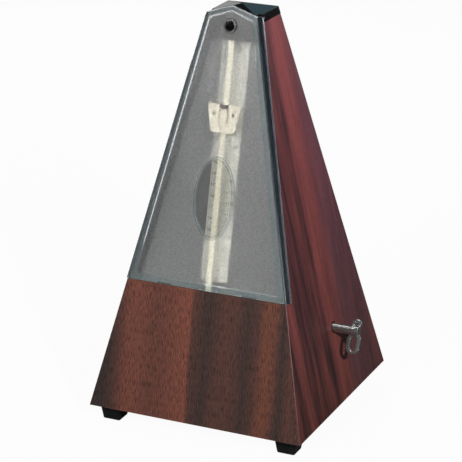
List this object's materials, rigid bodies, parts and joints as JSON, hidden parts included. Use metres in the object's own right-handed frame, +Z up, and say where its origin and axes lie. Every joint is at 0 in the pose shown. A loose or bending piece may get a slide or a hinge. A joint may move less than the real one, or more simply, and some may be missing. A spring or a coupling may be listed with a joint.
{
  "type": "pyramid metronome",
  "caption": "Wind-up pyramid metronome with a wood-print case, smoky clip-on front cover, sliding-weight pendulum and side winding key.",
  "frame": {"origin": "on the floor, on the vertical axis through the apex of the pyramid", "axes": "+Z up, -Y towards the front cover, +X towards the winding key"},
  "size_m": [0.1287, 0.121, 0.2213],
  "materials": {
    "case_woodgrain": "glossy moulded plastic with a mahogany wood print",
    "cap_black": "glossy black",
    "stud_black": "polished black",
    "base_black": "fine texture",
    "foot_black": "satin moulded",
    "screw_steel": "zinc plated",
    "board_grey": "fine grey texture",
    "scale_ivory": "ivory enamel with black graduations",
    "catch_steel": "bright",
    "plate_brass": "milled",
    "pillar_brass": "turned",
    "arbor_steel": "turned bright",
    "spring_steel": "hardened and blued grey",
    "cover_smoke": "smoke-tinted clear plastic with a frosted panel",
    "rod_cream": "satin cream",
    "bob_iron": "painted grey",
    "weight_ivory": "satin ivory",
    "rivet_dark": "oxidised",
    "key_chrome": "polished",
    "wheel_brass": "polished"
  },
  "bodies": {
    "case": {"case_shell": "case_woodgrain", "top_cap": "cap_black", "cover_stud": "stud_black", "base_plate": "base_black", "foot_front_left": "foot_black", "foot_front_right": "foot_black", "foot_rear_left": "foot_black", "foot_rear_right": "foot_black", "foot_screws": "screw_steel", "scale_board": "board_grey", "scale_plate": "scale_ivory", "board_screws": "screw_steel", "rod_catch": "catch_steel", "left_plate": "plate_brass", "right_plate": "plate_brass", "pillars": "pillar_brass", "movement_screws": "screw_steel", "front_bearing": "plate_brass", "rear_bearing": "plate_brass", "escape_bridge": "plate_brass", "click_post": "arbor_steel", "click_spring": "spring_steel"},
    "cover": {"front_cover": "cover_smoke"},
    "pendulum": {"pendulum_rod": "rod_cream", "rod_hub": "pillar_brass", "pendulum_arbor": "arbor_steel", "pallets": "spring_steel", "bob": "bob_iron"},
    "sliding_weight": {"weight_front": "weight_ivory", "weight_back": "weight_ivory", "weight_rivets": "rivet_dark"},
    "key": {"winding_key": "key_chrome", "winding_arbor": "arbor_steel", "ratchet_wheel": "spring_steel"},
    "click": {"click": "spring_steel"},
    "barrel": {"great_wheel": "wheel_brass", "barrel_drum": "wheel_brass", "barrel_lid": "pillar_brass", "mainspring": "spring_steel"},
    "intermediate": {"mid_arbor": "arbor_steel", "mid_wheel": "wheel_brass"},
    "escape": {"escape_arbor": "arbor_steel", "crown_wheel": "wheel_brass"}
  },
  "joints": [
    {"name": "cover_tilt", "type": "hinge", "parent": "case", "child": "cover", "pos_m": [0, -0.04389, 0.07877], "axis": [1, 0, 0], "range_deg": [0, 60]},
    {"name": "pendulum_swing", "type": "hinge", "parent": "case", "child": "pendulum", "pos_m": [0, -0.02, 0.062], "axis": [0, 1, 0], "range_deg": [-5.5, 5.5]},
    {"name": "weight_slide", "type": "slide", "parent": "pendulum", "child": "sliding_weight", "axis": [0, 0.2255, 0.9742], "range_m": [-0.078, 0.025]},
    {"name": "key_wind", "type": "hinge", "parent": "case", "child": "key", "pos_m": [0.04, 0.0053, 0.0482], "axis": [1, 0, 0], "continuous": true},
    {"name": "click_pivot", "type": "hinge", "parent": "case", "child": "click", "pos_m": [0.0215, -0.0067, 0.0577], "axis": [1, 0, 0], "range_deg": [0, 12], "stiffness_Nm_per_rad": 0.01},
    {"name": "barrel_run", "type": "hinge", "parent": "case", "child": "barrel", "pos_m": [0.01, 0.0053, 0.0482], "axis": [1, 0, 0], "continuous": true},
    {"name": "intermediate_turn", "type": "hinge", "parent": "case", "child": "intermediate", "pos_m": [0, -0.01693, 0.04546], "axis": [1, 0, 0], "continuous": true},
    {"name": "escape_turn", "type": "hinge", "parent": "case", "child": "escape", "pos_m": [-0.015, -0.014, 0.062], "axis": [1, 0, 0], "continuous": true}
  ],
  "couplings": [
    {"joint": "intermediate_turn", "follows": "barrel_run", "ratio": -6},
    {"joint": "escape_turn", "follows": "barrel_run", "ratio": 30}
  ]
}
